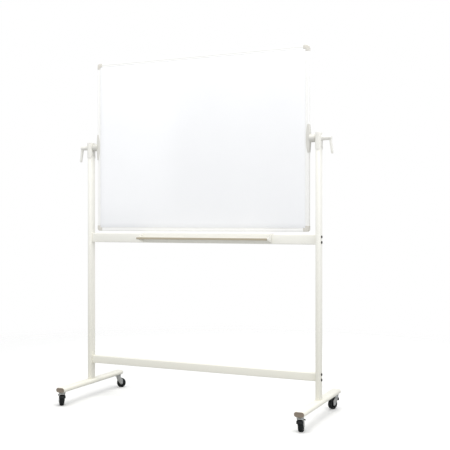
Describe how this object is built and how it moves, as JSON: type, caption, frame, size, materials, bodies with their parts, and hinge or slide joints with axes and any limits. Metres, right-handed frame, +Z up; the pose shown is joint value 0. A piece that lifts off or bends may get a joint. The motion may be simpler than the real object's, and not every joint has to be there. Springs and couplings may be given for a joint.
{
  "type": "rolling whiteboard",
  "caption": "Double-sided whiteboard that turns over between two flat-oval posts on a castor stand, with clamp levers at the pivots and a sliding pen tray on the upper crossbar.",
  "frame": {"origin": "on the floor under the middle of the stand, midway between the posts", "axes": "+Z up, +X to the right along the board, +Y from front to back, so the tray side faces -Y"},
  "size_m": [1.4386, 0.5899, 1.801],
  "materials": {
    "powder_coat": "satin cream-white powder coat",
    "frame_lacquer": "white lacquered extrusion, satin gloss",
    "corner_plastic": "moulded, beige grey, fine matt texture",
    "writing_enamel": "gloss white enamel",
    "core_board": "raw fibre core, hidden",
    "pivot_plastic": "moulded, light warm grey, satin",
    "cap_plastic": "moulded, taupe, matt",
    "dark_steel": "blackened steel",
    "zinc_steel": "zinc plated, satin",
    "tray_coat": "white powder coat",
    "black_plastic": "moulded, black, satin",
    "wheel_rubber": "black rubber tread on a black core"
  },
  "bodies": {
    "stand": {"left_post": "powder_coat", "left_foot": "powder_coat", "right_post": "powder_coat", "right_foot": "powder_coat", "upper_crossbar": "powder_coat", "lower_crossbar": "powder_coat", "left_front_foot_cap": "cap_plastic", "left_foot_screw_front": "dark_steel", "left_rear_foot_cap": "cap_plastic", "left_foot_screw_rear": "dark_steel", "upper_bolt_left_high": "dark_steel", "upper_bolt_left_low": "dark_steel", "lower_bolt_left_high": "dark_steel", "lower_bolt_left_low": "dark_steel", "left_pivot_head": "pivot_plastic", "right_front_foot_cap": "cap_plastic", "right_foot_screw_front": "dark_steel", "right_rear_foot_cap": "cap_plastic", "right_foot_screw_rear": "dark_steel", "upper_bolt_right_high": "dark_steel", "upper_bolt_right_low": "dark_steel", "lower_bolt_right_high": "dark_steel", "lower_bolt_right_low": "dark_steel", "right_pivot_head": "pivot_plastic", "front_left_castor_stem": "zinc_steel", "front_right_castor_stem": "zinc_steel", "rear_left_castor_stem": "zinc_steel", "rear_right_castor_stem": "zinc_steel"},
    "board": {"left_frame_rail": "frame_lacquer", "right_frame_rail": "frame_lacquer", "top_frame_rail": "frame_lacquer", "bottom_frame_rail": "frame_lacquer", "top_left_corner_cap": "corner_plastic", "top_right_corner_cap": "corner_plastic", "bottom_left_corner_cap": "corner_plastic", "bottom_right_corner_cap": "corner_plastic", "front_writing_sheet": "writing_enamel", "back_writing_sheet": "writing_enamel", "core_board": "core_board", "left_pivot_bracket": "pivot_plastic", "left_pivot_bolt": "zinc_steel", "right_pivot_bracket": "pivot_plastic", "right_pivot_bolt": "zinc_steel"},
    "tray": {"pen_tray": "tray_coat"},
    "left_lever": {"left_clamp_lever": "pivot_plastic"},
    "right_lever": {"right_clamp_lever": "pivot_plastic"},
    "front_left_yoke": {"front_left_castor_yoke": "zinc_steel"},
    "front_left_wheel": {"front_left_castor_wheel": "wheel_rubber"},
    "front_left_pedal": {"front_left_brake_pedal": "black_plastic"},
    "front_right_yoke": {"front_right_castor_yoke": "zinc_steel"},
    "front_right_wheel": {"front_right_castor_wheel": "wheel_rubber"},
    "front_right_pedal": {"front_right_brake_pedal": "black_plastic"},
    "rear_left_yoke": {"rear_left_castor_yoke": "zinc_steel"},
    "rear_left_wheel": {"rear_left_castor_wheel": "wheel_rubber"},
    "rear_right_yoke": {"rear_right_castor_yoke": "zinc_steel"},
    "rear_right_wheel": {"rear_right_castor_wheel": "wheel_rubber"},
    "rear_right_pedal": {"rear_right_brake_pedal": "black_plastic"}
  },
  "joints": [
    {"name": "board_turn", "type": "hinge", "parent": "stand", "child": "board", "pos_m": [0, 0, 1.351], "axis": [1, 0, 0], "continuous": true},
    {"name": "left_lever_turn", "type": "hinge", "parent": "stand", "child": "left_lever", "pos_m": [-0.6618, 0, 1.351], "axis": [-1, 0, 0], "range_deg": [0, 180]},
    {"name": "right_lever_turn", "type": "hinge", "parent": "stand", "child": "right_lever", "pos_m": [0.6618, 0, 1.351], "axis": [1, 0, 0], "range_deg": [0, 180]},
    {"name": "tray_slide", "type": "slide", "parent": "stand", "child": "tray", "axis": [1, 0, 0], "range_m": [-0.31, 0.22]},
    {"name": "front_left_swivel", "type": "hinge", "parent": "stand", "child": "front_left_yoke", "pos_m": [-0.647, -0.269, 0.0672], "axis": [0, 0, 1], "continuous": true},
    {"name": "front_left_wheel_roll", "type": "hinge", "parent": "front_left_yoke", "child": "front_left_wheel", "pos_m": [-0.66064, -0.25437, 0.025], "axis": [-0.7314, -0.682, 0], "continuous": true},
    {"name": "front_left_brake", "type": "hinge", "parent": "front_left_yoke", "child": "front_left_pedal", "pos_m": [-0.65518, -0.26022, 0.0555], "axis": [-0.7314, -0.682, 0], "range_deg": [0, 12]},
    {"name": "front_right_swivel", "type": "hinge", "parent": "stand", "child": "front_right_yoke", "pos_m": [0.647, -0.269, 0.0672], "axis": [0, 0, 1], "continuous": true},
    {"name": "front_right_wheel_roll", "type": "hinge", "parent": "front_right_yoke", "child": "front_right_wheel", "pos_m": [0.64422, -0.24919, 0.025], "axis": [-0.9903, -0.1392, 0], "continuous": true},
    {"name": "front_right_brake", "type": "hinge", "parent": "front_right_yoke", "child": "front_right_pedal", "pos_m": [0.64533, -0.25712, 0.0555], "axis": [-0.9903, -0.1392, 0], "range_deg": [0, 12]},
    {"name": "rear_left_swivel", "type": "hinge", "parent": "stand", "child": "rear_left_yoke", "pos_m": [-0.647, 0.269, 0.0672], "axis": [0, 0, 1], "continuous": true},
    {"name": "rear_left_wheel_roll", "type": "hinge", "parent": "rear_left_yoke", "child": "rear_left_wheel", "pos_m": [-0.63004, 0.2796, 0.025], "axis": [-0.5299, 0.848, 0], "continuous": true},
    {"name": "rear_right_swivel", "type": "hinge", "parent": "stand", "child": "rear_right_yoke", "pos_m": [0.647, 0.269, 0.0672], "axis": [0, 0, 1], "continuous": true},
    {"name": "rear_right_wheel_roll", "type": "hinge", "parent": "rear_right_yoke", "child": "rear_right_wheel", "pos_m": [0.63887, 0.25073, 0.025], "axis": [0.9135, -0.4067, 0], "continuous": true},
    {"name": "rear_right_brake", "type": "hinge", "parent": "rear_right_yoke", "child": "rear_right_pedal", "pos_m": [0.64212, 0.25804, 0.0555], "axis": [0.9135, -0.4067, 0], "range_deg": [0, 12]}
  ]
}
